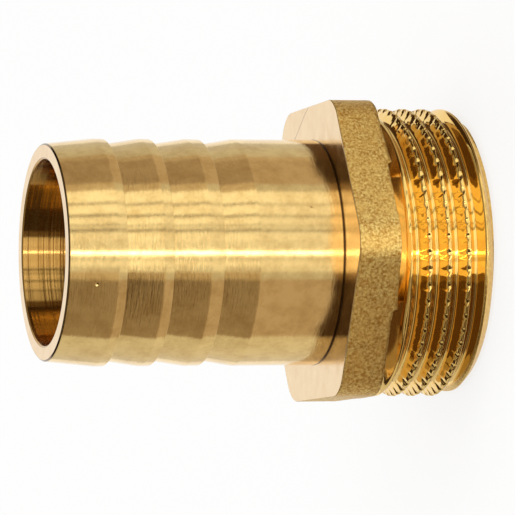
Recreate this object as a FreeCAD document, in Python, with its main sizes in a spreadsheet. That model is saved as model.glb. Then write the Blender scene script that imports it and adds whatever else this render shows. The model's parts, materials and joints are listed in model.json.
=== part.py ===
import FreeCAD, Part
import math
import os
import Sketcher

# Brass hose tail, forged and turned from one piece. It stands on the end of its pipe thread with
# the bore along +Z, so heights count up from the thread's end face to the mouth of the hose end.
# Lengths are millimetres.
SIZES = [
    # Male parallel pipe thread, 1 inch size, as the blank that the thread is cut on
    ("thread_diameter", 33.249),
    ("thread_length", 10.25),
    ("thread_lead_height", 0.95),
    ("thread_lead_width", 1.27),
    # Relief that the threading tool runs out into, under the hexagon
    ("relief_diameter", 30.4),
    ("relief_length", 2.05),
    ("relief_wall_slope", 0.3),
    # Hexagon, with the forging's round corners
    ("hexagon_flats", 33.8),
    ("hexagon_thickness", 4.65),
    ("hexagon_corner_radius", 4.2),
    # Root of the barbs, which the rest of the hose end rises from, and the wall under it
    ("barb_root_diameter", 24.55),
    ("spigot_wall", 1.675),
    # Plain collar between the hexagon and the barbs
    ("collar_rise", 0.7),
    ("collar_length", 9.8),
    ("collar_root_radius", 0.25),
    # Barbs: each is a ramp that rises away from the mouth, a narrow land and a square step
    ("barb_rise", 0.675),
    ("last_ramp_length", 4.15),
    ("third_land_length", 1.5),
    ("third_ramp_length", 4.3),
    ("second_land_length", 1.1),
    ("second_ramp_length", 4.3),
    ("first_land_length", 1.0),
    ("first_ramp_length", 5.65),
    # Mouth of the hose end, and the broken edges at both ends of the bore
    ("mouth_rise", 0.1),
    ("mouth_edge", 0.15),
    ("bore_edge", 0.25),
]

HEXAGON_SIDES = 6
# Half the angle of one side of the hexagon, as seen from the bore's axis
HALF_SIDE_DEG = 180 / HEXAGON_SIDES
# Edges are picked by their place, to within this distance
PICK = 0.001


def write_sizes(sheet):
    """Puts each size in a row of the sheet, under its own alias."""
    for row, (alias, value) in enumerate(SIZES, start=1):
        sheet.set(f"A{row}", alias)
        sheet.set(f"B{row}", str(value))
        sheet.setAlias(f"B{row}", alias)


def cell(alias):
    return f"Sizes.{alias}"


def half(alias):
    return f"{cell(alias)} / 2"


def over_root(rise):
    """Radius on the hose end, by how far it stands out from the barbs' root."""
    return f"{half('barb_root_diameter')} + {cell(rise)}"


def bore_radius():
    """Radius of the bore, which leaves the spigot's wall under the barbs' root."""
    return f"{half('barb_root_diameter')} - {cell('spigot_wall')}"


def origin_plane(body, role):
    return next(feature for feature in body.Origin.OriginFeatures if feature.Role == role)


def new_sketch(body, name, role):
    sketch = body.newObject("Sketcher::SketchObject", name)
    sketch.AttachmentSupport = [(origin_plane(body, role), "")]
    sketch.MapMode = "FlatFace"
    return sketch


def hold(sketch, kind, axis, corner, label, expression):
    """Holds one corner of a sketch: on the axis where its distance is nothing, else at that distance."""
    if expression == "0":
        sketch.addConstraint(Sketcher.Constraint("PointOnObject", corner, 1, axis))
        return
    distance = float(sketch.evalExpression(expression))
    index = sketch.addConstraint(Sketcher.Constraint(kind, -1, 1, corner, 1, distance))
    sketch.renameConstraint(index, label)
    sketch.setExpression(f"Constraints.{label}", expression)


def outline_sketch(body, name, role, corners):
    """A closed outline with straight sides. Each corner is (name, radius, height), as expressions."""
    sketch = new_sketch(body, name, role)
    places = [
        FreeCAD.Vector(float(sketch.evalExpression(radius)), float(sketch.evalExpression(height)), 0)
        for _, radius, height in corners
    ]
    for start, end in zip(places, places[1:] + places[:1]):
        sketch.addGeometry(Part.LineSegment(start, end), False)
    for side in range(len(corners)):
        following = (side + 1) % len(corners)
        sketch.addConstraint(Sketcher.Constraint("Coincident", side, 2, following, 1))
    x_axis, y_axis = -1, -2
    for corner, (label, radius, height) in enumerate(corners):
        hold(sketch, "DistanceX", y_axis, corner, f"{label}_radius", radius)
        hold(sketch, "DistanceY", x_axis, corner, f"{label}_height", height)
    return sketch


def turned_corners():
    """The turned outline in order up the fitting, from the thread's end face to the mouth."""
    heights = {}
    stack = "0"
    for top, step in (
        ("thread_top", "thread_length"),
        ("hexagon_base", "relief_length"),
        ("hexagon_top", "hexagon_thickness"),
        ("collar_top", "collar_length"),
        ("third_step", "last_ramp_length"),
        ("third_land", "third_land_length"),
        ("second_step", "third_ramp_length"),
        ("second_land", "second_land_length"),
        ("first_step", "second_ramp_length"),
        ("first_land", "first_land_length"),
        ("mouth", "first_ramp_length"),
    ):
        stack = cell(step) if stack == "0" else f"{stack} + {cell(step)}"
        heights[top] = stack
    corners = [
        ("axis_foot", "0", "0"),
        ("thread_end", f"{half('thread_diameter')} - {cell('thread_lead_width')}", "0"),
        ("thread_lead", half("thread_diameter"), cell("thread_lead_height")),
        (
            "thread_top",
            half("thread_diameter"),
            f"{heights['thread_top']} - {cell('relief_wall_slope')}",
        ),
        ("relief_foot", half("relief_diameter"), heights["thread_top"]),
        ("relief_top", half("relief_diameter"), heights["hexagon_base"]),
        ("collar_foot", over_root("collar_rise"), heights["hexagon_top"]),
        ("collar_top", over_root("collar_rise"), heights["collar_top"]),
    ]
    for barb in ("third", "second", "first"):
        corners += [
            (f"{barb}_root", half("barb_root_diameter"), heights[f"{barb}_step"]),
            (f"{barb}_crest_foot", over_root("barb_rise"), heights[f"{barb}_step"]),
            (f"{barb}_crest_top", over_root("barb_rise"), heights[f"{barb}_land"]),
        ]
    corners += [
        ("mouth_side", over_root("mouth_rise"), f"{heights['mouth']} - {cell('mouth_edge')}"),
        ("mouth_edge", f"{over_root('mouth_rise')} - {cell('mouth_edge')}", heights["mouth"]),
        ("axis_top", "0", heights["mouth"]),
    ]
    return corners, heights


def add_hexagon(body, heights):
    """The hexagon with its flats across Y and its corners rounded as forged."""
    prism = body.newObject("PartDesign::AdditivePrism", "Hexagon")
    prism.AttachmentSupport = [(origin_plane(body, "XY_Plane"), "")]
    prism.MapMode = "FlatFace"
    prism.Polygon = HEXAGON_SIDES
    prism.setExpression("Circumradius", f"{half('hexagon_flats')} / cos({HALF_SIDE_DEG})")
    prism.setExpression("Height", cell("hexagon_thickness"))
    prism.setExpression("AttachmentOffset.Base.z", heights["hexagon_base"])
    body.Document.recompute()
    upright = [
        f"Edge{number}"
        for number, edge in enumerate(prism.Shape.Edges, start=1)
        if abs(edge.BoundBox.ZLength - edge.Length) < PICK
    ]
    corners = body.newObject("PartDesign::Fillet", "HexagonCorners")
    corners.Base = (prism, upright)
    corners.setExpression("Radius", cell("hexagon_corner_radius"))


def add_turning(body, corners):
    """Everything that the lathe leaves: thread blank, relief, collar and barbs."""
    sketch = outline_sketch(body, "TurnedOutline", "XZ_Plane", corners)
    turning = body.newObject("PartDesign::Revolution", "Turning")
    turning.Profile = sketch
    turning.ReferenceAxis = (sketch, ["V_Axis"])
    turning.Angle = 360


def add_bore(body):
    """The bore, drilled right through from the thread's end."""
    sketch = new_sketch(body, "BoreCircle", "XY_Plane")
    radius = float(sketch.evalExpression(bore_radius()))
    circle = Part.Circle(FreeCAD.Vector(0, 0, 0), FreeCAD.Vector(0, 0, 1), radius)
    sketch.addGeometry(circle, False)
    sketch.addConstraint(Sketcher.Constraint("Coincident", 0, 3, -1, 1))
    index = sketch.addConstraint(Sketcher.Constraint("Radius", 0, radius))
    sketch.renameConstraint(index, "bore")
    sketch.setExpression("Constraints.bore", bore_radius())
    bore = body.newObject("PartDesign::Pocket", "Bore")
    bore.Profile = sketch
    bore.Type = "ThroughAll"
    bore.Reversed = True


def circles_at(shape, radius, places):
    """Names of the round edges of one radius that lie at one of some heights."""
    return [
        f"Edge{number}"
        for number, edge in enumerate(shape.Edges, start=1)
        if isinstance(edge.Curve, Part.Circle)
        and abs(edge.Curve.Radius - radius) < PICK
        and any(abs(edge.Curve.Center.z - place) < PICK for place in places)
    ]


def add_edges(body, heights):
    """The broken edges at both ends of the bore, and the small radius at the foot of the collar."""
    bore = body.Tip
    mouth = float(bore.evalExpression(heights["mouth"]))
    radius = float(bore.evalExpression(bore_radius()))
    chamfer = body.newObject("PartDesign::Chamfer", "BoreEdges")
    chamfer.Base = (bore, circles_at(bore.Shape, radius, (0, mouth)))
    chamfer.setExpression("Size", cell("bore_edge"))
    body.Document.recompute()
    hexagon_top = float(bore.evalExpression(heights["hexagon_top"]))
    collar_radius = float(bore.evalExpression(over_root("collar_rise")))
    root = body.newObject("PartDesign::Fillet", "CollarRoot")
    root.Base = (chamfer, circles_at(chamfer.Shape, collar_radius, (hexagon_top,)))
    root.setExpression("Radius", cell("collar_root_radius"))


def check(document, body, drilled):
    """Stops the build if a feature failed, the solid is bad or the drill took nothing away."""
    failed = [item.Name for item in document.Objects if {"Invalid", "Error"} & set(item.State)]
    if failed:
        raise RuntimeError(f"these did not build: {failed}")
    shape = body.Shape
    if shape.isNull() or not shape.isValid() or len(shape.Solids) != 1:
        raise RuntimeError("the fitting is not one valid solid")
    if not math.isclose(*drilled, rel_tol=PICK):
        raise RuntimeError(f"the bore took {drilled[0]:.1f} and not {drilled[1]:.1f} cubic mm")


document = FreeCAD.newDocument("HoseTail")
sizes = document.addObject("Spreadsheet::Sheet", "Sizes")
write_sizes(sizes)
document.recompute()

body = document.addObject("PartDesign::Body", "HoseTailBody")
body.Label = "hose_tail"
body.Placement = FreeCAD.Placement()
document.recompute()

corners, heights = turned_corners()
add_hexagon(body, heights)
add_turning(body, corners)
document.recompute()
solid_volume = body.Shape.Volume
add_bore(body)
document.recompute()
taken = solid_volume - body.Shape.Volume
bore_section = math.pi * float(body.evalExpression(bore_radius())) ** 2
bored = bore_section * float(body.evalExpression(heights["mouth"]))
add_edges(body, heights)
document.recompute()
check(document, body, (taken, bored))

os.makedirs("parts", exist_ok=True)
body.Shape.exportStep(f"parts/{body.Label}.step")
box = body.Shape.BoundBox
print(f"{body.Label}: {box.XLength:.2f} x {box.YLength:.2f} x {box.ZLength:.2f} mm")
print(f"metal: {body.Shape.Volume:.1f} cubic mm")
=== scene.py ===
import json
import math

import bmesh
import bpy
from mathutils import Matrix, Vector, noise


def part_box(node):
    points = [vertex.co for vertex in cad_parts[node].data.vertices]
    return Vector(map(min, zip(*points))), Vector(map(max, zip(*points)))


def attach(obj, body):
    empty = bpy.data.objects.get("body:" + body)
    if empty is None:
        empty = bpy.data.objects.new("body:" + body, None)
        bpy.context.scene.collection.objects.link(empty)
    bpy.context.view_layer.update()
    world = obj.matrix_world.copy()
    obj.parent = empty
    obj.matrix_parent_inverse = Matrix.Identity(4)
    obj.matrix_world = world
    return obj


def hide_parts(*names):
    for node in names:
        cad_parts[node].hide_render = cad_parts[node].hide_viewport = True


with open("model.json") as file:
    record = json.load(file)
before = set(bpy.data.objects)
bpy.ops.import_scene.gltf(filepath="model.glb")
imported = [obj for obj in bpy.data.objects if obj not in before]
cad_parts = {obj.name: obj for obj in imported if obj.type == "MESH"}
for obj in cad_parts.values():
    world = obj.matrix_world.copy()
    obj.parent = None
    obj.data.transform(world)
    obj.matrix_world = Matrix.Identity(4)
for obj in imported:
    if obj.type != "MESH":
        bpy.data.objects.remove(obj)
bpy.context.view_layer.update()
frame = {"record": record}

# THE BORE AND THE TURNED HOSE END
# The fitting is one piece of leaded brass, stamped hot and then turned, bored and threaded. Each barb
# rises away from the mouth to a narrow land and drops at a square step, which grips the hose.
MM = 0.001
mounts = {mount["name"]: mount for mount in frame["record"]["mounts"]}
bore_radius = mounts["through_bore"]["dims"]["r_mm"] * MM
collar_radius = mounts["hose_spigot"]["dims"]["r_mm"] * MM
_, high_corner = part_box("hose_tail")
height = high_corner[2]
ROOT_RADIUS = 12.275 * MM
LAND_RADIUS = 12.95 * MM
MOUTH_RADIUS = 12.375 * MM
MOUTH_EDGE = 0.15 * MM
BORE_EDGE = 0.15 * MM
COLLAR_TOP = 26.75 * MM
HEXAGON_TOP = 16.95 * MM
# Heights of each barb: the foot of its square step, and the top of its land
BARB_LANDS = [(30.9 * MM, 32.4 * MM), (36.7 * MM, 37.8 * MM), (42.1 * MM, 43.1 * MM)]
# Sharp edges are broken by a few hundredths of a millimetre and soft ones by a tenth
SHARP = 0.03 * MM
SOFT = 0.10 * MM
# A ring this close to an edge keeps the surface beside it flat to the light
SUPPORT = 0.05 * MM
# An edge and its ring each take no more than this share of the shorter side next to them
EDGE_SHARE = 0.3
SUPPORT_SHARE = 0.1
# On long sides, rings stand no further apart than this
RING_STEP = 2.4 * MM
# Rings on a flat face stand this far apart, where two parts join
FACE_RING = 0.5 * MM
# Columns of vertices round the hose end. The hexagon has twice as many, and the thread four times.
HOSE_COLUMNS = 196


def rounded(corners):
    """Rings of an outline. Each corner is (radius, height, edge radius), and long sides get rings too."""
    rings = []
    for index, (radius, level, edge) in enumerate(corners):
        here = Vector((radius, level))
        turned_edge = [here]
        if edge > 0:
            before = Vector(corners[index - 1][:2]) - here
            after = Vector(corners[index + 1][:2]) - here
            shorter = min(before.length, after.length)
            reach = min(edge, shorter * EDGE_SHARE)
            support = min(SUPPORT, shorter * SUPPORT_SHARE)
            start = here + before.normalized() * reach
            end = here + after.normalized() * reach
            turned_edge = [
                here + before.normalized() * (reach + support),
                start,
                start.lerp(end, 0.5).lerp(here, 0.5),
                end,
                here + after.normalized() * (reach + support),
            ]
        if rings:
            last = rings[-1].copy()
            pieces = max(1, math.ceil((turned_edge[0] - last).length / RING_STEP))
            rings += [last.lerp(turned_edge[0], part / pieces) for part in range(1, pieces)]
        rings += turned_edge
    return [(ring.x, ring.y) for ring in rings]


# The outline goes up the bore, over the mouth and down the barbs to the hexagon's front face
hose_end = [
    (bore_radius + BORE_EDGE, 0, 0),
    (bore_radius, BORE_EDGE, SHARP),
    (bore_radius, height - BORE_EDGE, SHARP),
    (bore_radius + BORE_EDGE, height, SHARP),
    (MOUTH_RADIUS - MOUTH_EDGE, height, SHARP),
    (MOUTH_RADIUS, height - MOUTH_EDGE, SHARP),
]
for step_foot, land_top in reversed(BARB_LANDS):
    hose_end += [
        (LAND_RADIUS, land_top, SOFT),
        (LAND_RADIUS, step_foot, SHARP),
        (ROOT_RADIUS, step_foot, SHARP),
    ]
hose_end += [
    (collar_radius, COLLAR_TOP, SOFT),
    (collar_radius, HEXAGON_TOP, SHARP),
    (collar_radius + FACE_RING, HEXAGON_TOP, 0),
]
hose_rings = rounded(hose_end)


def linear(code):
    """Turns an sRGB hex colour to the linear values that a shader takes."""
    parts = [int(code[at:at + 2], 16) / 255 for at in (1, 3, 5)]
    parts = [part / 12.92 if part <= 0.04045 else ((part + 0.055) / 1.055) ** 2.4 for part in parts]
    return parts + [1.0]


def add(tree, kind, inputs=None, **settings):
    """Adds one node with its settings, and links or sets its inputs, by name or by number.

    A Map Range takes its value at 0, what it maps from at 1 and 2, and what it maps to at 3 and 4. A Mix
    takes its share at 0, and two numbers at 2 and 3 or two colours at 6 and 7.
    """
    node = tree.nodes.new(kind)
    for name, value in settings.items():
        setattr(node, name, value)
    for socket, value in (inputs or {}).items():
        if isinstance(value, bpy.types.NodeSocket):
            tree.links.new(value, node.inputs[socket])
        else:
            node.inputs[socket].default_value = value
    return node


def new_material(name):
    """An empty material and its node tree."""
    material = bpy.data.materials.new(name)
    material.use_nodes = True
    material.node_tree.nodes.clear()
    return material, material.node_tree


turned, tree = new_material("turned_brass")
# Leaded brass, CZ122, as turned: a pale yellow metal. The tool's rings break every streak of light into
# dashes. They are drawn 0.2 mm apart, as coarse as they need to be to show. Handling leaves faint brown
# stains and the mouth's edge is tarnished. The corner at the collar's foot is painted dark: painted shade.
TOOL_RING = 0.2174 * MM
TOOL_RING_LENGTH = 1.4286 * MM
TOOL_RING_DEPTH = 0.02 * MM
STAIN_SIZE = 2.222 * MM
TARNISH_WIDTH = 0.25 * MM
# Height of the painted shade in the corner at the collar's foot
CORNER_SHADE_HEIGHT = 0.22 * MM
# Pits and a mark from handling, each a place and a radius in millimetres
PITS = [((2.18, -12.50, 45.53), 0.22), ((9.87, -8.43, 20.54), 0.15), ((5.0, -11.7, 46.6), 0.12)]
PIT_DEPTH_IN_RINGS = 6.0
place = add(tree, "ShaderNodeTexCoord").outputs["Object"]
rings = add(
    tree, "ShaderNodeMapping",
    {"Vector": place, "Scale": (1 / TOOL_RING_LENGTH, 1 / TOOL_RING_LENGTH, 1 / TOOL_RING)},
)
marks = add(tree, "ShaderNodeTexNoise", {"Vector": rings.outputs[0], "Scale": 1.0, "Detail": 4.0})
stains = add(
    tree, "ShaderNodeTexNoise", {"Vector": place, "Scale": 1 / STAIN_SIZE, "Detail": 6.0, "Roughness": 0.7},
)
stain = add(tree, "ShaderNodeMapRange", {0: stains.outputs[0], 1: 0.42, 2: 0.75, 3: 0.0, 4: 0.6})
metal = add(
    tree, "ShaderNodeMix", {0: stain.outputs[0], 6: linear("#F8D48A"), 7: linear("#C79A52")},
    data_type="RGBA",
)
spot = add(tree, "ShaderNodeSeparateXYZ", {0: place})
lip = add(
    tree, "ShaderNodeMapRange",
    {0: spot.outputs["Z"], 1: height - TARNISH_WIDTH, 2: height - TARNISH_WIDTH / 2, 3: 0.0, 4: 0.85},
)
# The corner at the collar's foot is painted dark brown: painted shade
foot = add(
    tree, "ShaderNodeMapRange",
    {0: spot.outputs["Z"], 1: HEXAGON_TOP + CORNER_SHADE_HEIGHT / 2, 2: HEXAGON_TOP + CORNER_SHADE_HEIGHT, 3: 0.95, 4: 0.0},
)
dark = add(tree, "ShaderNodeMath", {0: lip.outputs[0], 1: foot.outputs[0]}, operation="MAXIMUM")
metal = add(
    tree, "ShaderNodeMix", {0: dark.outputs[0], 6: metal.outputs[2], 7: linear("#4A2F16")},
    data_type="RGBA",
)
dullness = add(tree, "ShaderNodeMapRange", {0: marks.outputs[0], 1: 0.3, 2: 0.7, 3: 0.10, 4: 0.17})
pitted = marks.outputs[0]
for pit_place, pit_radius in PITS:
    away = add(
        tree, "ShaderNodeVectorMath", {0: place, 1: [part * MM for part in pit_place]}, operation="DISTANCE",
    )
    pit = add(
        tree, "ShaderNodeMapRange",
        {0: away.outputs["Value"], 1: 0.0, 2: pit_radius * MM, 3: -PIT_DEPTH_IN_RINGS, 4: 0.0},
    )
    pitted = add(tree, "ShaderNodeMath", {0: pitted, 1: pit.outputs[0]}, operation="ADD").outputs[0]
relief = add(tree, "ShaderNodeBump", {"Height": pitted, "Strength": 0.6, "Distance": TOOL_RING_DEPTH})
around = add(tree, "ShaderNodeTangent", direction_type="RADIAL", axis="Z")
surface = add(
    tree, "ShaderNodeBsdfPrincipled",
    {
        "Base Color": metal.outputs[2], "Metallic": 1.0, "Roughness": dullness.outputs[0],
        "Anisotropic": 0.7, "Anisotropic Rotation": 0.25, "Tangent": around.outputs[0],
        "Normal": relief.outputs[0],
    },
)
add(tree, "ShaderNodeOutputMaterial", {"Surface": surface.outputs[0]})

bored, tree = new_material("bored_brass")
# The same brass as bored out: smooth round the bore, but each of the tool's rings leans a little to the
# mouth, so the wall sends light back out in clear zones. The rings are drawn 0.2 mm apart, as coarse as
# they need to be to show. Further in, the wall is painted darker and browner: painted shade deep in the
# bore.
BORE_RING = 0.2 * MM
BORE_RING_LENGTH = 16.667 * MM
# The lean of a ring is a slope, which varies between these two
LEAST_LEAN = 0.08
MOST_LEAN = 0.38
UNSHADED_DEPTH = 5.0 * MM
FULL_SHADE_DEPTH = 14.0 * MM
place = add(tree, "ShaderNodeTexCoord").outputs["Object"]
rings = add(
    tree, "ShaderNodeMapping",
    {"Vector": place, "Scale": (1 / BORE_RING_LENGTH, 1 / BORE_RING_LENGTH, 1 / BORE_RING)},
)
marks = add(tree, "ShaderNodeTexNoise", {"Vector": rings.outputs[0], "Scale": 1.0, "Detail": 4.0})
spot = add(tree, "ShaderNodeSeparateXYZ", {0: place})
# Deeper in the bore the wall is painted darker and browner: painted shade
bore_shade = add(
    tree, "ShaderNodeMapRange",
    {0: spot.outputs["Z"], 1: height - FULL_SHADE_DEPTH, 2: height - UNSHADED_DEPTH, 3: 1.0, 4: 0.0},
)
metal = add(
    tree, "ShaderNodeMix", {0: bore_shade.outputs[0], 6: linear("#C49852"), 7: linear("#8A6236")},
    data_type="RGBA",
)
lean = add(tree, "ShaderNodeMapRange", {0: marks.outputs[0], 1: 0.3, 2: 0.7, 3: LEAST_LEAN, 4: MOST_LEAN})
upward = add(tree, "ShaderNodeCombineXYZ", {2: lean.outputs[0]})
wall = add(tree, "ShaderNodeNewGeometry").outputs["Normal"]
leaning = add(tree, "ShaderNodeVectorMath", {0: wall, 1: upward.outputs[0]}, operation="ADD")
leaning = add(tree, "ShaderNodeVectorMath", {0: leaning.outputs[0]}, operation="NORMALIZE")
around = add(tree, "ShaderNodeTangent", direction_type="RADIAL", axis="Z")
surface = add(
    tree, "ShaderNodeBsdfPrincipled",
    {
        "Base Color": metal.outputs[2], "Metallic": 1.0, "Roughness": 0.18,
        "Anisotropic": 1.0, "Anisotropic Rotation": 0.25, "Tangent": around.outputs[0],
        "Normal": leaning.outputs[0],
    },
)
add(tree, "ShaderNodeOutputMaterial", {"Surface": surface.outputs[0]})

# THE FORGED HEXAGON
# The six sides keep the skin of the hot stamping: matt, speckled and a little uneven, with round
# corners. The front and back faces are turned, and the tool pushed a burr over the back edge.
seat_height = mounts["hexagon_seat"]["pos_m"][2]
half_flats = high_corner[1]
HEXAGON_CORNER = 4.2 * MM
HEXAGON_EDGE = 0.12 * MM
HEXAGON_COLUMNS = 2 * HOSE_COLUMNS
SIDE_ROWS = 16
SKIN_LUMP = 0.45 * MM
SKIN_DEPTH = 0.02 * MM
# The back edge stands out a little all round and wanders by a share of that. The burr grows along half
# of each side to its height before it breaks off. Its angles are counted from the middle of the side.
BACK_LIP = 0.22 * MM
WANDER_SHARE = 0.25
WANDER_FINENESS = 9
BURR_HEIGHT = 0.5 * MM
BURR_GROWTH = 1.3
BURR_START_DEG = 26.0
BURR_END_DEG = 3.0
SIDE_DEG = 60.0


def hexagon_radius(angle, grow=0.0):
    """Distance from the axis to the hexagon's side at one angle; its flats face +Y and -Y."""
    side = math.radians(SIDE_DEG)
    from_corner = (angle + side / 2) % side - side / 2
    flats = half_flats + grow
    corner = HEXAGON_CORNER + grow
    centre = (flats - corner) / math.cos(side / 2)
    reach = centre * math.cos(from_corner)
    reach += math.sqrt(max(corner ** 2 - (centre * math.sin(from_corner)) ** 2, 0))
    flat = flats / math.cos(side / 2 - abs(from_corner))
    tangent_point = math.atan((flats - corner) * math.tan(side / 2) / flats)
    return flat if side / 2 - abs(from_corner) < tangent_point else reach


def back_edge(angle):
    """Height of the hexagon's back edge at one angle, with its burr."""
    from_middle = math.degrees(angle) % SIDE_DEG - SIDE_DEG / 2
    burr = 0.0
    if BURR_END_DEG < from_middle < BURR_START_DEG:
        burr = (BURR_START_DEG - from_middle) / (BURR_START_DEG - BURR_END_DEG)
    wander = noise.noise(Vector((math.cos(angle), math.sin(angle), 0)) * WANDER_FINENESS)
    return seat_height - BACK_LIP - BURR_HEIGHT * burr ** BURR_GROWTH - WANDER_SHARE * BACK_LIP * wander


def set_in(edges):
    """The hexagon's outline, set in from its sides by some widths of their broken edge."""
    return lambda angle: hexagon_radius(angle, -edges * HEXAGON_EDGE)


def side_level(share):
    """Heights of one row of the sides, between their top at 0 and the back edge at 1."""
    top = HEXAGON_TOP - HEXAGON_EDGE
    return lambda angle: top + (back_edge(angle) + HEXAGON_EDGE - top) * share


forged, tree = new_material("forged_brass")
# The same brass as hot stamping leaves it: grain about 0.3 mm wide, brown-gold where the skin stayed on
GRAIN_WIDTH = 0.2941 * MM
GRAIN_DEPTH = 0.11 * MM
PATCH_SIZE = 2.0 * MM
place = add(tree, "ShaderNodeTexCoord").outputs["Object"]
grain = add(
    tree, "ShaderNodeTexNoise", {"Vector": place, "Scale": 1 / GRAIN_WIDTH, "Detail": 3.0, "Roughness": 0.7},
)
patches = add(tree, "ShaderNodeTexNoise", {"Vector": place, "Scale": 1 / PATCH_SIZE, "Detail": 3.0})
shade = add(tree, "ShaderNodeMapRange", {0: grain.outputs[0], 1: 0.36, 2: 0.64, 3: 0.0, 4: 1.0})
skin = add(
    tree, "ShaderNodeMix", {0: shade.outputs[0], 6: linear("#B97A26"), 7: linear("#FFE38C")},
    data_type="RGBA",
)
worn = add(tree, "ShaderNodeMapRange", {0: patches.outputs[0], 1: 0.35, 2: 0.75, 3: 0.0, 4: 0.5})
metal = add(
    tree, "ShaderNodeMix", {0: worn.outputs[0], 6: skin.outputs[2], 7: linear("#F6C86C")},
    data_type="RGBA",
)
relief = add(
    tree, "ShaderNodeBump", {"Height": grain.outputs[0], "Strength": 0.8, "Distance": GRAIN_DEPTH},
)
surface = add(
    tree, "ShaderNodeBsdfPrincipled",
    {"Base Color": metal.outputs[2], "Metallic": 1.0, "Roughness": 0.44, "Normal": relief.outputs[0]},
)
add(tree, "ShaderNodeOutputMaterial", {"Surface": surface.outputs[0]})

faced, tree = new_material("faced_brass")
# The mouth and the hexagon's front, turned square to the axis: nearly mirror-bright and a paler yellow,
# with one scratch across a corner of the front
WEAR_SIZE = 2.222 * MM
SCRATCH = [(14.46, 8.54, 16.95), (8.6, 12.47, 16.95)]
SCRATCH_WIDTH = 0.12 * MM
SCRATCH_WANDER = 1.0 * MM
SCRATCH_WAVE = 5.0 * MM
place = add(tree, "ShaderNodeTexCoord").outputs["Object"]
wear = add(
    tree, "ShaderNodeTexNoise", {"Vector": place, "Scale": 1 / WEAR_SIZE, "Detail": 5.0, "Roughness": 0.65},
)
metal = add(
    tree, "ShaderNodeMix", {0: wear.outputs[0], 6: linear("#F9DDAE"), 7: linear("#E9C593")},
    data_type="RGBA",
)
scratch_start, scratch_end = (Vector(point) * MM for point in SCRATCH)
across = (scratch_end - scratch_start).normalized().cross(Vector((0, 0, 1)))
wander = add(tree, "ShaderNodeTexNoise", {"Vector": place, "Scale": 1 / SCRATCH_WAVE, "Detail": 1.0})
from_line = add(tree, "ShaderNodeVectorMath", {0: place, 1: across}, operation="DOT_PRODUCT")
bend = add(
    tree, "ShaderNodeMath",
    {0: wander.outputs[0], 1: SCRATCH_WANDER, 2: -SCRATCH_WANDER / 2 - scratch_start.dot(across)},
    operation="MULTIPLY_ADD",
)
from_line = add(tree, "ShaderNodeMath", {0: from_line.outputs["Value"], 1: bend.outputs[0]}, operation="ADD")
from_line = add(tree, "ShaderNodeMath", {0: from_line.outputs[0]}, operation="ABSOLUTE")
scratch_middle = (scratch_start + scratch_end) / 2
from_middle = add(tree, "ShaderNodeVectorMath", {0: place, 1: scratch_middle}, operation="DISTANCE")
in_reach = add(
    tree, "ShaderNodeMath",
    {0: from_middle.outputs["Value"], 1: (scratch_end - scratch_start).length / 2}, operation="LESS_THAN",
)
groove = add(tree, "ShaderNodeMapRange", {0: from_line.outputs[0], 1: 0.0, 2: SCRATCH_WIDTH, 3: 0.7, 4: 0.0})
groove = add(tree, "ShaderNodeMath", {0: groove.outputs[0], 1: in_reach.outputs[0]}, operation="MULTIPLY")
metal = add(
    tree, "ShaderNodeMix", {0: groove.outputs[0], 6: metal.outputs[2], 7: linear("#6B5240")},
    data_type="RGBA",
)
dullness = add(tree, "ShaderNodeMapRange", {0: wear.outputs[0], 1: 0.3, 2: 0.7, 3: 0.14, 4: 0.26})
surface = add(
    tree, "ShaderNodeBsdfPrincipled",
    {"Base Color": metal.outputs[2], "Metallic": 1.0, "Roughness": dullness.outputs[0]},
)
add(tree, "ShaderNodeOutputMaterial", {"Surface": surface.outputs[0]})

# THE CUT THREAD AND THE RELIEF
# A right-hand parallel pipe thread, 11 turns to the inch, with flanks 55 degrees apart. A knurling wheel
# has pressed dents in its crests, so that hemp or tape holds. The ridge by the relief has none.
thread_radius = mounts["thread_spigot"]["dims"]["r_mm"] * MM
PITCH = 25.4 / 11 * MM
# The standard depth of the thread, and the depth of the sharp V that it is cut from
THREAD_DEPTH = 0.6403 * PITCH
SHARP_V = 0.9605 * PITCH
LEAD_HEIGHT = 1.2 * MM
LEAD_WIDTH = 1.27 * MM
THREAD_TOP = 10.25 * MM
END_RING = 14.9 * MM
# The strip has this many turns, and starts some turns below the crest that the height is given for
TURNS = 7
TURNS_BELOW = 5
THREAD_COLUMNS = 2 * HEXAGON_COLUMNS
ROWS = 14
# Height of a crest on the side that the picture shows, and that side's angle round the axis
CREST_HEIGHT = 7.97 * MM
VIEW_DEG = -64.0
# A dent's bowl falls steeply to a flat bottom. The middle of its lip and half the lip's width are
# shares of half the dent's size.
DENTS = 56
BOWL_STEEPNESS = 2.2
LIP_PLACE = 1.15
LIP_WIDTH = 0.25
# At both ends of the thread, this share of a pitch has no dents
PLAIN_AT_TOP = 0.6
PLAIN_AT_END = 0.95
# Two waves crowd the rows of a ridge together at its crest and at its root
TWO_WAVES = 4 * math.pi
CROWDING = 0.6
# The relief falls from the thread in a hollow curve, and ends in a small round corner at the hexagon
RELIEF_RADIUS = 15.2 * MM
RELIEF_HOLLOW = 1.4
FLANK_FOOT_RADIUS = 15.97 * MM
FLANK_FOOT = 10.56 * MM
RELIEF_FLOOR = 11.8 * MM
RELIEF_CORNER = 0.4 * MM
RELIEF_ROWS = 9
CORNER_ROWS = 5

cut, tree = new_material("cut_brass")
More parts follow.
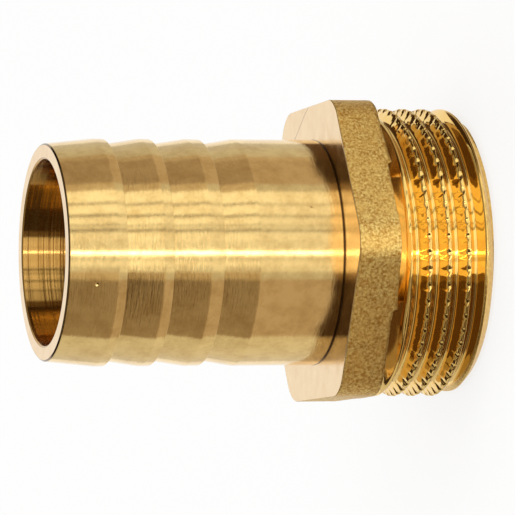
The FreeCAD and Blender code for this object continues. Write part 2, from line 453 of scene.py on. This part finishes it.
# Freshly cut flanks that mirror each other, so that the brass looks orange between them. The chamfered
# end is rougher and speckled, where it was knocked and handled.
CUT_WEAR = 1.111 * MM
SPECK_SIZE = 0.4 * MM
SPECK_DEPTH = 0.06 * MM
place = add(tree, "ShaderNodeTexCoord").outputs["Object"]
wear = add(tree, "ShaderNodeTexNoise", {"Vector": place, "Scale": 1 / CUT_WEAR, "Detail": 4.0})
metal = add(
    tree, "ShaderNodeMix", {0: wear.outputs[0], 6: linear("#FAD478"), 7: linear("#EFC06A")},
    data_type="RGBA",
)
spot = add(tree, "ShaderNodeSeparateXYZ", {0: place})
end_band = add(
    tree, "ShaderNodeMapRange", {0: spot.outputs["Z"], 1: LEAD_HEIGHT, 2: 1.1 * LEAD_HEIGHT, 3: 1.0, 4: 0.0},
)
specks = add(tree, "ShaderNodeTexNoise", {"Vector": place, "Scale": 1 / SPECK_SIZE, "Detail": 3.0})
speck = add(
    tree, "ShaderNodeMix", {0: specks.outputs[0], 6: linear("#CF8F30"), 7: linear("#FFE38C")},
    data_type="RGBA",
)
metal = add(
    tree, "ShaderNodeMix", {0: end_band.outputs[0], 6: metal.outputs[2], 7: speck.outputs[2]},
    data_type="RGBA",
)
smooth = add(tree, "ShaderNodeMapRange", {0: wear.outputs[0], 1: 0.3, 2: 0.7, 3: 0.05, 4: 0.10})
dullness = add(
    tree, "ShaderNodeMix", {0: end_band.outputs[0], 2: smooth.outputs[0], 3: 0.34}, data_type="FLOAT",
)
relief = add(
    tree, "ShaderNodeBump",
    {"Height": specks.outputs[0], "Strength": end_band.outputs[0], "Distance": SPECK_DEPTH},
)
surface = add(
    tree, "ShaderNodeBsdfPrincipled",
    {
        "Base Color": metal.outputs[2], "Metallic": 1.0, "Roughness": dullness.outputs[0],
        "Normal": relief.outputs[0],
    },
)
add(tree, "ShaderNodeOutputMaterial", {"Surface": surface.outputs[0]})

thread_tree = bpy.data.node_groups.new("cut_thread", "GeometryNodeTree")
thread_inputs = [
    ("Columns", "NodeSocketInt", THREAD_COLUMNS * TURNS + 1),
    ("Rows", "NodeSocketInt", ROWS + 1),
    ("Turns", "NodeSocketFloat", TURNS),
    ("Turns Below", "NodeSocketFloat", TURNS_BELOW),
    ("Pitch", "NodeSocketFloat", PITCH),
    ("Depth", "NodeSocketFloat", THREAD_DEPTH),
    ("Sharp V", "NodeSocketFloat", SHARP_V),
    ("Crest Share", "NodeSocketFloat", 0.15),
    ("Rounding", "NodeSocketFloat", 0.07 * MM),
    ("Outer Radius", "NodeSocketFloat", thread_radius),
    ("Crest Height", "NodeSocketFloat", CREST_HEIGHT - PITCH * VIEW_DEG / 360),
    ("Top", "NodeSocketFloat", THREAD_TOP),
    ("Lead Height", "NodeSocketFloat", LEAD_HEIGHT),
    ("Lead Width", "NodeSocketFloat", LEAD_WIDTH),
    ("Flank Foot Radius", "NodeSocketFloat", FLANK_FOOT_RADIUS),
    ("Flank Foot", "NodeSocketFloat", FLANK_FOOT),
    ("End Ring", "NodeSocketFloat", END_RING),
    ("Dents", "NodeSocketFloat", DENTS),
    ("Dent Depth", "NodeSocketFloat", 0.17 * MM),
    # Half a dent's width is a share of the way to the next one. Half its length and its place are
    # shares of a pitch.
    ("Dent Width", "NodeSocketFloat", 0.26),
    ("Dent Reach", "NodeSocketFloat", 0.17),
    ("Dent Offset", "NodeSocketFloat", 0.11),
    ("Dent Slant", "NodeSocketFloat", 0.9),
    ("Lip Height", "NodeSocketFloat", 0.015 * MM),
    ("Metal", "NodeSocketMaterial", cut),
]
for name, kind, _ in thread_inputs:
    thread_tree.interface.new_socket(name, in_out="INPUT", socket_type=kind)
thread_tree.interface.new_socket("Mesh", in_out="OUTPUT", socket_type="NodeSocketGeometry")
given = add(thread_tree, "NodeGroupInput").outputs
point = add(thread_tree, "GeometryNodeInputPosition")
spot = add(thread_tree, "ShaderNodeSeparateXYZ", {0: point.outputs[0]})
values = {name: given[name] for name, _, _ in thread_inputs}
values.update({"x": spot.outputs[0], "y": spot.outputs[1], "z": spot.outputs[2]})
# Each step of the arithmetic has a name, an operation and its values, which are inputs, earlier steps or
# numbers. On the flat strip x runs along the thread and y across one ridge, both from -0.5 to 0.5.
THREAD_STEPS = [
    ("along", "ADD", "x", 0.5),
    ("turn", "MULTIPLY", "along", "Turns"),
    ("wave angle", "MULTIPLY", "y", TWO_WAVES),
    ("wave", "SINE", "wave angle"),
    ("crowding", "MULTIPLY", "wave", -CROWDING / TWO_WAVES),
    ("across", "ADD", "y", "crowding"),
    ("helix", "SUBTRACT", "turn", "Turns Below"),
    ("helix place", "ADD", "helix", "across"),
    ("free level", "MULTIPLY_ADD", "helix place", "Pitch", "Crest Height"),
    ("under top", "MINIMUM", "free level", "Top"),
    ("level", "MAXIMUM", "under top", 0.0),
    # How far the point lies from the nearest crest, in turns: above 0 is the hose's side
    ("over crest", "SUBTRACT", "level", "Crest Height"),
    ("crests", "DIVIDE", "over crest", "Pitch"),
    ("unwound", "SUBTRACT", "crests", "turn"),
    ("phase", "WRAP", "unwound", 0.5, -0.5),
    ("from crest", "ABSOLUTE", "phase"),
    # The cut's depth there: a 55 degree V, with its crest and root rounded off
    ("width", "MULTIPLY", "from crest", 2.0),
    ("open width", "SUBTRACT", "width", "Crest Share"),
    ("v depth", "MULTIPLY", "open width", "Sharp V"),
    ("below crest", "SMOOTH_MAX", "v depth", 0.0, "Rounding"),
    ("flank", "SMOOTH_MIN", "below crest", "Depth", "Rounding"),
    # A dent is an oval, flat-bottomed bowl on the hose's side of the crest, with a raised lip round it
    ("slant", "MULTIPLY", "phase", "Dent Slant"),
    ("beats", "MULTIPLY_ADD", "turn", "Dents", "slant"),
    ("beat", "WRAP", "beats", 0.5, -0.5),
    ("dent x", "DIVIDE", "beat", "Dent Width"),
    ("dent x squared", "POWER", "dent x", 2.0),
    ("off centre", "SUBTRACT", "phase", "Dent Offset"),
    ("dent y", "DIVIDE", "off centre", "Dent Reach"),
    ("dent y squared", "POWER", "dent y", 2.0),
    ("dent square", "ADD", "dent x squared", "dent y squared"),
    ("dent place", "SQRT", "dent square"),
    ("bowl share", "SUBTRACT", 1.0, "dent square"),
    ("steep bowl", "MULTIPLY", "bowl share", BOWL_STEEPNESS),
    ("flat bowl", "MINIMUM", "steep bowl", 1.0),
    ("bowl", "MAXIMUM", "flat bowl", 0.0),
    ("bowl depth", "MULTIPLY", "bowl", "Dent Depth"),
    ("from lip", "SUBTRACT", "dent place", LIP_PLACE),
    ("lip distance", "ABSOLUTE", "from lip"),
    ("lip slope", "MULTIPLY_ADD", "lip distance", -1 / LIP_WIDTH, 1.0),
    ("lip share", "MAXIMUM", "lip slope", 0.0),
    ("lip rise", "MULTIPLY", "lip share", "Lip Height"),
    ("dent cut", "SUBTRACT", "bowl depth", "lip rise"),
    ("last ridge", "MULTIPLY_ADD", "Pitch", -PLAIN_AT_TOP, "Top"),
    ("is below", "LESS_THAN", "level", "last ridge"),
    ("first ridge", "MULTIPLY", "Pitch", PLAIN_AT_END),
    ("is above", "GREATER_THAN", "level", "first ridge"),
    ("is dented", "MULTIPLY", "is below", "is above"),
    ("dent", "MULTIPLY", "dent cut", "is dented"),
    ("cut depth", "ADD", "flank", "dent"),
    # The chamfer at the thread's end cuts what is left of the ridges
    ("thread reach", "SUBTRACT", "Outer Radius", "cut depth"),
    ("lead slope", "DIVIDE", "Lead Width", "Lead Height"),
    ("lead foot", "SUBTRACT", "Outer Radius", "Lead Width"),
    ("lead reach", "MULTIPLY_ADD", "level", "lead slope", "lead foot"),
    ("reach", "MINIMUM", "thread reach", "lead reach"),
    ("angle", "MULTIPLY", "turn", 2 * math.pi),
    ("cosine", "COSINE", "angle"),
    ("sine", "SINE", "angle"),
    ("wound x", "MULTIPLY", "reach", "cosine"),
    ("wound y", "MULTIPLY", "reach", "sine"),
    # Both open rims are drawn on: one in over the end face, one down the relief's flank
    ("half top", "MULTIPLY", "Top", 0.5),
    ("is top", "GREATER_THAN", "z", "half top"),
    ("rim x squared", "POWER", "x", 2.0),
    ("rim square", "MULTIPLY_ADD", "y", "y", "rim x squared"),
    ("rim reach", "SQRT", "rim square"),
    ("ring growth", "SUBTRACT", "Flank Foot Radius", "End Ring"),
    ("ring reach", "MULTIPLY_ADD", "is top", "ring growth", "End Ring"),
    ("drawn reach", "MINIMUM", "ring reach", "rim reach"),
    ("share", "DIVIDE", "drawn reach", "rim reach"),
    ("drawn x", "MULTIPLY", "x", "share"),
    ("drawn y", "MULTIPLY", "y", "share"),
    ("drawn z", "MULTIPLY", "is top", "Flank Foot"),
]
for name, operation, *terms in THREAD_STEPS:
    sockets = {index: values.get(term, term) for index, term in enumerate(terms)}
    values[name] = add(thread_tree, "ShaderNodeMath", sockets, operation=operation).outputs[0]
wound_point = add(
    thread_tree, "ShaderNodeCombineXYZ", {0: values["wound x"], 1: values["wound y"], 2: values["level"]},
)
drawn_point = add(
    thread_tree, "ShaderNodeCombineXYZ", {0: values["drawn x"], 1: values["drawn y"], 2: values["drawn z"]},
)
strip = add(
    thread_tree, "GeometryNodeMeshGrid",
    {"Size X": 1.0, "Size Y": 1.0, "Vertices X": given["Columns"], "Vertices Y": given["Rows"]},
)
wound = add(
    thread_tree, "GeometryNodeSetPosition",
    {"Geometry": strip.outputs[0], "Position": wound_point.outputs[0]},
)
closed = add(
    thread_tree, "GeometryNodeMergeByDistance", {"Geometry": wound.outputs[0], "Distance": 0.001 * MM},
)
rim = add(thread_tree, "GeometryNodeInputMeshEdgeNeighbors")
is_rim = add(
    thread_tree, "FunctionNodeCompare", {2: rim.outputs[0], 3: 1}, data_type="INT",
    operation="EQUAL",
)
drawn = add(
    thread_tree, "GeometryNodeExtrudeMesh",
    {"Mesh": closed.outputs[0], "Selection": is_rim.outputs[0], "Offset Scale": 0.0}, mode="EDGES",
)
ended = add(
    thread_tree, "GeometryNodeSetPosition",
    {
        "Geometry": drawn.outputs["Mesh"], "Selection": drawn.outputs["Top"],
        "Position": drawn_point.outputs[0],
    },
)
real = add(thread_tree, "GeometryNodeRealizeInstances", {0: ended.outputs[0]})
finished = add(
    thread_tree, "GeometryNodeSetMaterial", {"Geometry": real.outputs[0], "Material": given["Metal"]},
)
add(thread_tree, "NodeGroupOutput", {"Mesh": finished.outputs[0]})

thread = bpy.data.objects.new("thread_skin", bpy.data.meshes.new("thread_skin"))
bpy.context.scene.collection.objects.link(thread)
modifier = thread.modifiers.new("cut_thread", "NODES")
modifier.node_group = thread_tree
sockets = [item for item in thread_tree.interface.items_tree if item.in_out == "INPUT"]
identifiers = {item.name: item.identifier for item in sockets}
for name, _, value in thread_inputs:
    modifier[identifiers[name]] = value
bpy.context.view_layer.update()
evaluated = thread.evaluated_get(bpy.context.evaluated_depsgraph_get())
thread_mesh = bpy.data.meshes.new_from_object(evaluated)
bpy.data.objects.remove(thread)

# THE WHOLE FITTING
# Everything above is one piece of metal, so the thread, the hexagon and the hose end are joined ring by
# ring into one closed mesh. Each finish is where its tool left it.
body = bmesh.new()
body.from_mesh(thread_mesh)
CUT, TURNED, FORGED, FACED, BORED = range(5)
for face in body.faces:
    face.material_index = CUT
# Two radii or heights that differ by less than this are the same
SAME = 0.1 * SHARP
# An angle that is less than this under a full turn counts as none
HAIR_OF_A_TURN = 1e-5


def turn_of(vertex):
    """Angle of a vertex round the axis, from 0 to a full turn."""
    return math.atan2(vertex.co.y, vertex.co.x) % (2 * math.pi - HAIR_OF_A_TURN)


def open_rim(is_upper):
    """The thread's open rim at its top or its end, in order round the axis."""
    rim = {vertex for edge in body.edges if edge.is_boundary for vertex in edge.verts}
    rim = [vertex for vertex in rim if (vertex.co.z > THREAD_TOP / 2) == is_upper]
    return sorted(rim, key=turn_of)


def ring_of(columns, reach, level):
    """One ring of vertices round the axis. Reach and level are numbers, or functions of the angle."""
    ring = []
    for column in range(columns):
        angle = 2 * math.pi * column / columns
        radius = reach(angle) if callable(reach) else reach
        rise = level(angle) if callable(level) else level
        ring.append(body.verts.new((radius * math.cos(angle), radius * math.sin(angle), rise)))
    return ring


def bridge(lower, upper, material_index):
    """Faces between two rings; one may have twice as many vertices as the other."""
    if len(lower) == len(upper):
        count = len(lower)
        faces = [
            (lower[at], lower[(at + 1) % count], upper[(at + 1) % count], upper[at]) for at in range(count)
        ]
    else:
        few, many = sorted((lower, upper), key=len)
        faces = []
        for at in range(len(few)):
            following = (at + 1) % len(few)
            first, middle, last = (many[(2 * at + step) % len(many)] for step in range(3))
            faces += [
                (few[at], first, middle),
                (few[at], middle, few[following]),
                (few[following], middle, last),
            ]
    for corners in faces:
        body.faces.new(corners).material_index = material_index


def hose_finish(one, other):
    """The finish between two rings of the hose end, each given as a radius and a height."""
    if max(one[0], other[0]) < bore_radius + BORE_EDGE + SAME:
        return BORED
    is_flat = abs(one[1] - other[1]) < SAME
    at_face = min(abs(one[1] - face) for face in (0, HEXAGON_TOP, height)) < SHARP
    return FACED if is_flat and at_face else TURNED


end_rim = open_rim(False)
relief_rim = open_rim(True)
end_ring = ring_of(HEXAGON_COLUMNS, END_RING - 2 * FACE_RING, 0)
bridge(end_rim, end_ring, FACED)
lower = end_ring
lower_place = (END_RING, 0)
for ring_place in hose_rings:
    upper = ring_of(HOSE_COLUMNS, *ring_place)
    bridge(lower, upper, hose_finish(lower_place, ring_place))
    lower, lower_place = upper, ring_place
front_ring = ring_of(HEXAGON_COLUMNS, collar_radius + 2 * FACE_RING, HEXAGON_TOP)
bridge(lower, front_ring, FACED)

# The rest of the outline goes out over the front face, down the hexagon's sides, in along its back face
# and down the relief. Each ring has a radius, a height and the finish from the ring before it to it.
outline = [
    (set_in(2), HEXAGON_TOP, FACED),
    (set_in(1), HEXAGON_TOP, FACED),
    (set_in(0.3), HEXAGON_TOP - 0.3 * HEXAGON_EDGE, FACED),
]
outline += [(hexagon_radius, side_level(row / SIDE_ROWS), FORGED) for row in range(SIDE_ROWS + 1)]
outline += [
    (set_in(0.5), back_edge, FORGED),
    (set_in(3), seat_height, FACED),
    (RELIEF_RADIUS + 2 * RELIEF_CORNER, seat_height, FACED),
]
for row in range(CORNER_ROWS + 1):
    corner_angle = math.radians(90) * row / CORNER_ROWS
    out = RELIEF_CORNER * (1 - math.sin(corner_angle))
    down = RELIEF_CORNER * (1 - math.cos(corner_angle))
    outline.append((RELIEF_RADIUS + out, seat_height - down, CUT))
for row in range(1, RELIEF_ROWS):
    share = row / RELIEF_ROWS
    reach = RELIEF_RADIUS + (FLANK_FOOT_RADIUS - RELIEF_RADIUS) * share ** RELIEF_HOLLOW
    outline.append((reach, RELIEF_FLOOR + (FLANK_FOOT - RELIEF_FLOOR) * share, CUT))
previous = front_ring
for reach, level, finish in outline:
    ring = ring_of(HEXAGON_COLUMNS, reach, level)
    bridge(previous, ring, finish)
    if reach is hexagon_radius:
        for vertex in ring:
            lump = noise.noise(vertex.co / SKIN_LUMP) * SKIN_DEPTH
            outward = Vector((vertex.co.x, vertex.co.y, 0)).normalized()
            vertex.co += outward * lump
    previous = ring
bridge(previous, relief_rim, CUT)
bmesh.ops.recalc_face_normals(body, faces=body.faces)
mesh = bpy.data.meshes.new("hose_tail_fitting")
body.to_mesh(mesh)
body.free()
# In the order of the numbers given to the finishes
for material in (cut, turned, forged, faced, bored):
    mesh.materials.append(material)
mesh.shade_smooth()
fitting = bpy.data.objects.new("hose_tail_fitting", mesh)
bpy.context.scene.collection.objects.link(fitting)
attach(fitting, "root")
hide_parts("hose_tail")

# THE STUDIO
# The fitting stands on a table of white paper in a white room, inside a light tent that only the brass
# reflects. The tent makes the streaks on the metal, and the paper keeps a soft shadow.
FLOOR_REACH = 4.0
FLOOR_GLOW = 0.8
floor_mesh = bpy.data.meshes.new("floor")
floor_mesh.from_pydata(
    [(-FLOOR_REACH, -FLOOR_REACH, 0), (FLOOR_REACH, -FLOOR_REACH, 0),
     (FLOOR_REACH, FLOOR_REACH, 0), (-FLOOR_REACH, FLOOR_REACH, 0)],
    [], [(0, 1, 2, 3)],
)
floor = bpy.data.objects.new("floor", floor_mesh)
bpy.context.scene.collection.objects.link(floor)
white, tree = new_material("white_table")
# Matt paper, which looks nearly pure white to the camera and in the brass, and darker in the shadow
seen = add(tree, "ShaderNodeLightPath")
direct = add(
    tree, "ShaderNodeMath", {0: seen.outputs["Is Camera Ray"], 1: seen.outputs["Is Glossy Ray"]},
    operation="MAXIMUM",
)
glow_share = add(tree, "ShaderNodeMath", {0: direct.outputs[0], 1: FLOOR_GLOW}, operation="MULTIPLY")
paper = add(tree, "ShaderNodeBsdfDiffuse", {"Color": linear("#F4F4F2")})
glow = add(tree, "ShaderNodeEmission", {"Color": (1, 1, 1, 1), "Strength": 1.0})
both = add(tree, "ShaderNodeMixShader", {0: glow_share.outputs[0], 1: paper.outputs[0], 2: glow.outputs[0]})
add(tree, "ShaderNodeOutputMaterial", {"Surface": both.outputs[0]})
floor_mesh.materials.append(white)

# The tent is made of panels. Each spans some angles, counted from the camera's side, lies on the table
# beside the fitting and beyond, and rises as a wall with a foot and an upper part. A paint is a number,
# the strength of a white glow, or the colour of a glow of strength 1.
# In the dark sectors the paint beside the fitting is darker than the table beyond: a painted shadow of the
# fitting on the table, which the brass reflects
PANELS = [
    # start and end, then the paint beside the fitting, on the table, at the wall's foot and above
    (-150.0, -112.0, 0.4, 0.72, 0.66, 0.72),
    (-112.0, -97.0, "#5C4E4A", 0.72, 0.66, 0.72),
    (-97.0, -28.0, "#5C4E4A", "#BDAFA5", "#9A8C7E", "#3A2E24"),
    (-28.0, -20.0, "#80705F", 0.62, "#CDBFAE", "#80705F"),
    (-20.0, -14.0, 1.2, 0.9, 0.62, 1.3),
    (-14.0, -8.5, 1.35, 1.0, 0.95, 1.45),
    (-8.5, -4.5, 0.9, 0.8, 0.62, 1.3),
    (-4.5, -1.6, 1.35, 1.1, 1.0, 1.45),
    (-1.6, 0.8, 6.0, 5.0, 6.0, 6.0),
    (0.8, 12.0, 1.2, 0.9, 0.8, 1.3),
    (12.0, 21.0, 1.35, 1.0, 0.95, 1.45),
    (21.0, 24.0, 0.6, 0.5, 0.3, 0.5),
    (24.0, 27.0, 1.2, 0.9, 0.9, 1.3),
    (27.0, 29.0, 0.8, 0.7, 0.5, 0.8),
    (29.0, 36.5, 1.35, 1.0, 1.05, 1.45),
    (36.5, 39.5, 0.5, 0.6, 0.35, 0.5),
    (39.5, 49.5, 1.35, 1.05, 1.15, 1.3),
    (49.5, 52.5, 0.7, 0.7, 0.5, 0.6),
    (52.5, 66.0, 1.2, 1.1, 1.2, 1.0),
    (66.0, 75.0, "#80705F", 0.62, "#D2C6BA", "#80705F"),
    (75.0, 110.0, "#5C4E4A", "#BDAFA5", "#A89A90", "#3A2E24"),
    (110.0, 117.0, "#5C4E4A", "#C8BCB0", "#BCB0A4", "#4A3A2E"),
    (117.0, 126.0, "#5C4E4A", 0.62, 0.58, "#5A4636"),
    (126.0, 150.0, "#7C6E66", 0.62, 0.58, "#5A4636"),
]
TENT_RADIUS = 0.25
TENT_NEAR = 0.024
TENT_FOOT = 0.055
TENT_TOP = 0.25
TENT_LIFT = 0.0005
PANEL_STEP_DEG = 3.0
# Behind the fitting, dark cloth hangs from the roof down to this height
CLOTH_FOOT = 0.105
CLOTH_FROM_DEG = 97.0
CLOTH = "#3E3026"
# The roof is a round of grey cloth
ROOF = "#9A948C"
ROOF_COLUMNS = 48
tent = bmesh.new()
tent_mesh = bpy.data.meshes.new("light_tent")


def add_paint(name, paint):
    """Gives the tent one more paint, and returns its number."""
    colour, strength = (paint, 1.0) if isinstance(paint, str) else ("#FFFFFF", paint)
    material, tree = new_material(name)
    glow = add(tree, "ShaderNodeEmission", {"Color": linear(colour), "Strength": strength})
    add(tree, "ShaderNodeOutputMaterial", {"Surface": glow.outputs[0]})
    tent_mesh.materials.append(material)
    return len(tent_mesh.materials) - 1


for start, end, *paints in PANELS:
    is_behind = abs(start + end) / 2 > CLOTH_FROM_DEG
    paints.append(CLOTH if is_behind else paints[-1])
    steps = max(1, math.ceil((end - start) / PANEL_STEP_DEG))
    rows = []
    for part in range(steps + 1):
        # A ray that comes from the camera and meets the thread half this angle round leaves along it
        seen_deg = start + (end - start) * part / steps
        away = math.radians(VIEW_DEG + seen_deg)
        touch = math.radians(VIEW_DEG + seen_deg / 2)
        outward = Vector((math.cos(away), math.sin(away), 0))
        beside = Vector((math.cos(touch), math.sin(touch), 0)) * (thread_radius + TENT_LIFT)
        near = beside + outward * TENT_NEAR
        far = beside + outward * TENT_RADIUS
        levels = (
            (beside, TENT_LIFT), (near, TENT_LIFT), (far, TENT_LIFT), (far, TENT_FOOT),
            (far, CLOTH_FOOT), (far, TENT_TOP),
        )
        rows.append([tent.verts.new((corner.x, corner.y, level)) for corner, level in levels])
    for band, paint in enumerate(paints):
        number = add_paint("tent_panel", paint)
        for one, other in zip(rows, rows[1:]):
            face = tent.faces.new((one[band], one[band + 1], other[band + 1], other[band]))
            face.material_index = number
roof_angles = [2 * math.pi * column / ROOF_COLUMNS for column in range(ROOF_COLUMNS)]
roof = [
    tent.verts.new((TENT_RADIUS * math.cos(angle), TENT_RADIUS * math.sin(angle), TENT_TOP))
    for angle in roof_angles
]
tent.faces.new(roof).material_index = add_paint("tent_roof", ROOF)
tent.to_mesh(tent_mesh)
tent.free()
panels = bpy.data.objects.new("light_tent", tent_mesh)
bpy.context.scene.collection.objects.link(panels)
panels.visible_camera = False
panels.visible_shadow = False
panels.visible_diffuse = False

# Two soft lamps, which the brass doesn't reflect, light the table and give it the fitting's soft shadow
LAMPS = [
    # name, angle from the camera's side, height, distance, width, watts
    ("softbox_above", 30.0, 0.8, 0.3, 0.8, 4.0),
    ("softbox_side", 200.0, 0.5, 0.7, 0.6, 2.0),
]
for name, side_deg, lamp_height, away, width, watts in LAMPS:
    data = bpy.data.lights.new(name, "AREA")
    data.shape = "SQUARE"
    data.size = width
    data.energy = watts
    lamp = bpy.data.objects.new(name, data)
    lamp_angle = math.radians(VIEW_DEG + side_deg)
    lamp.location = (away * math.cos(lamp_angle), away * math.sin(lamp_angle), lamp_height)
    aim = Vector((0, 0, height / 2)) - lamp.location
    lamp.rotation_euler = aim.to_track_quat("-Z", "Y").to_euler()
    lamp.visible_glossy = False
    bpy.context.scene.collection.objects.link(lamp)

# The room is white to the camera and in the brass, and lights the table half as strongly
ROOM_LIGHT = 0.5
world = bpy.data.worlds.new("white_room")
bpy.context.scene.world = world
world.use_nodes = True
tree = world.node_tree
tree.nodes.clear()
seen = add(tree, "ShaderNodeLightPath")
direct = add(
    tree, "ShaderNodeMath", {0: seen.outputs["Is Camera Ray"], 1: seen.outputs["Is Glossy Ray"]},
    operation="MAXIMUM",
)
strength = add(tree, "ShaderNodeMapRange", {0: direct.outputs[0], 3: ROOM_LIGHT, 4: 1.0})
room = add(tree, "ShaderNodeBackground", {"Color": (1, 1, 1, 1), "Strength": strength.outputs[0]})
add(tree, "ShaderNodeOutputWorld", {"Surface": room.outputs[0]})

# THE CAMERA
# A long lens from half a metre away. It looks 16 degrees down past the mouth, and is rolled so that the
# mouth is at the picture's left.
TILT_DEG = 16.05
DISTANCE = 0.5338
AIM_HEIGHT = 0.023464
PICTURE = 515
FOCAL_PIXELS = 4648.7
AXIS_RISE_PIXELS = 5.0
camera_data = bpy.data.cameras.new("camera")
camera_data.sensor_width = 36.0
camera_data.lens = FOCAL_PIXELS / PICTURE * camera_data.sensor_width
camera_data.shift_y = -AXIS_RISE_PIXELS / PICTURE
camera = bpy.data.objects.new("camera", camera_data)
bpy.context.scene.collection.objects.link(camera)
view_angle = math.radians(VIEW_DEG)
tilt = math.radians(TILT_DEG)
back = Vector((math.cos(tilt) * math.cos(view_angle), math.cos(tilt) * math.sin(view_angle), math.sin(tilt)))
right = Vector((0, 0, -1))
right = (right - back * right.dot(back)).normalized()
up = back.cross(right)
pose = Matrix((right, up, back)).transposed().to_4x4()
pose.translation = Vector((0, 0, AIM_HEIGHT)) + back * DISTANCE
camera.matrix_world = pose
bpy.context.scene.camera = camera
bpy.context.scene.view_settings.view_transform = "Standard"
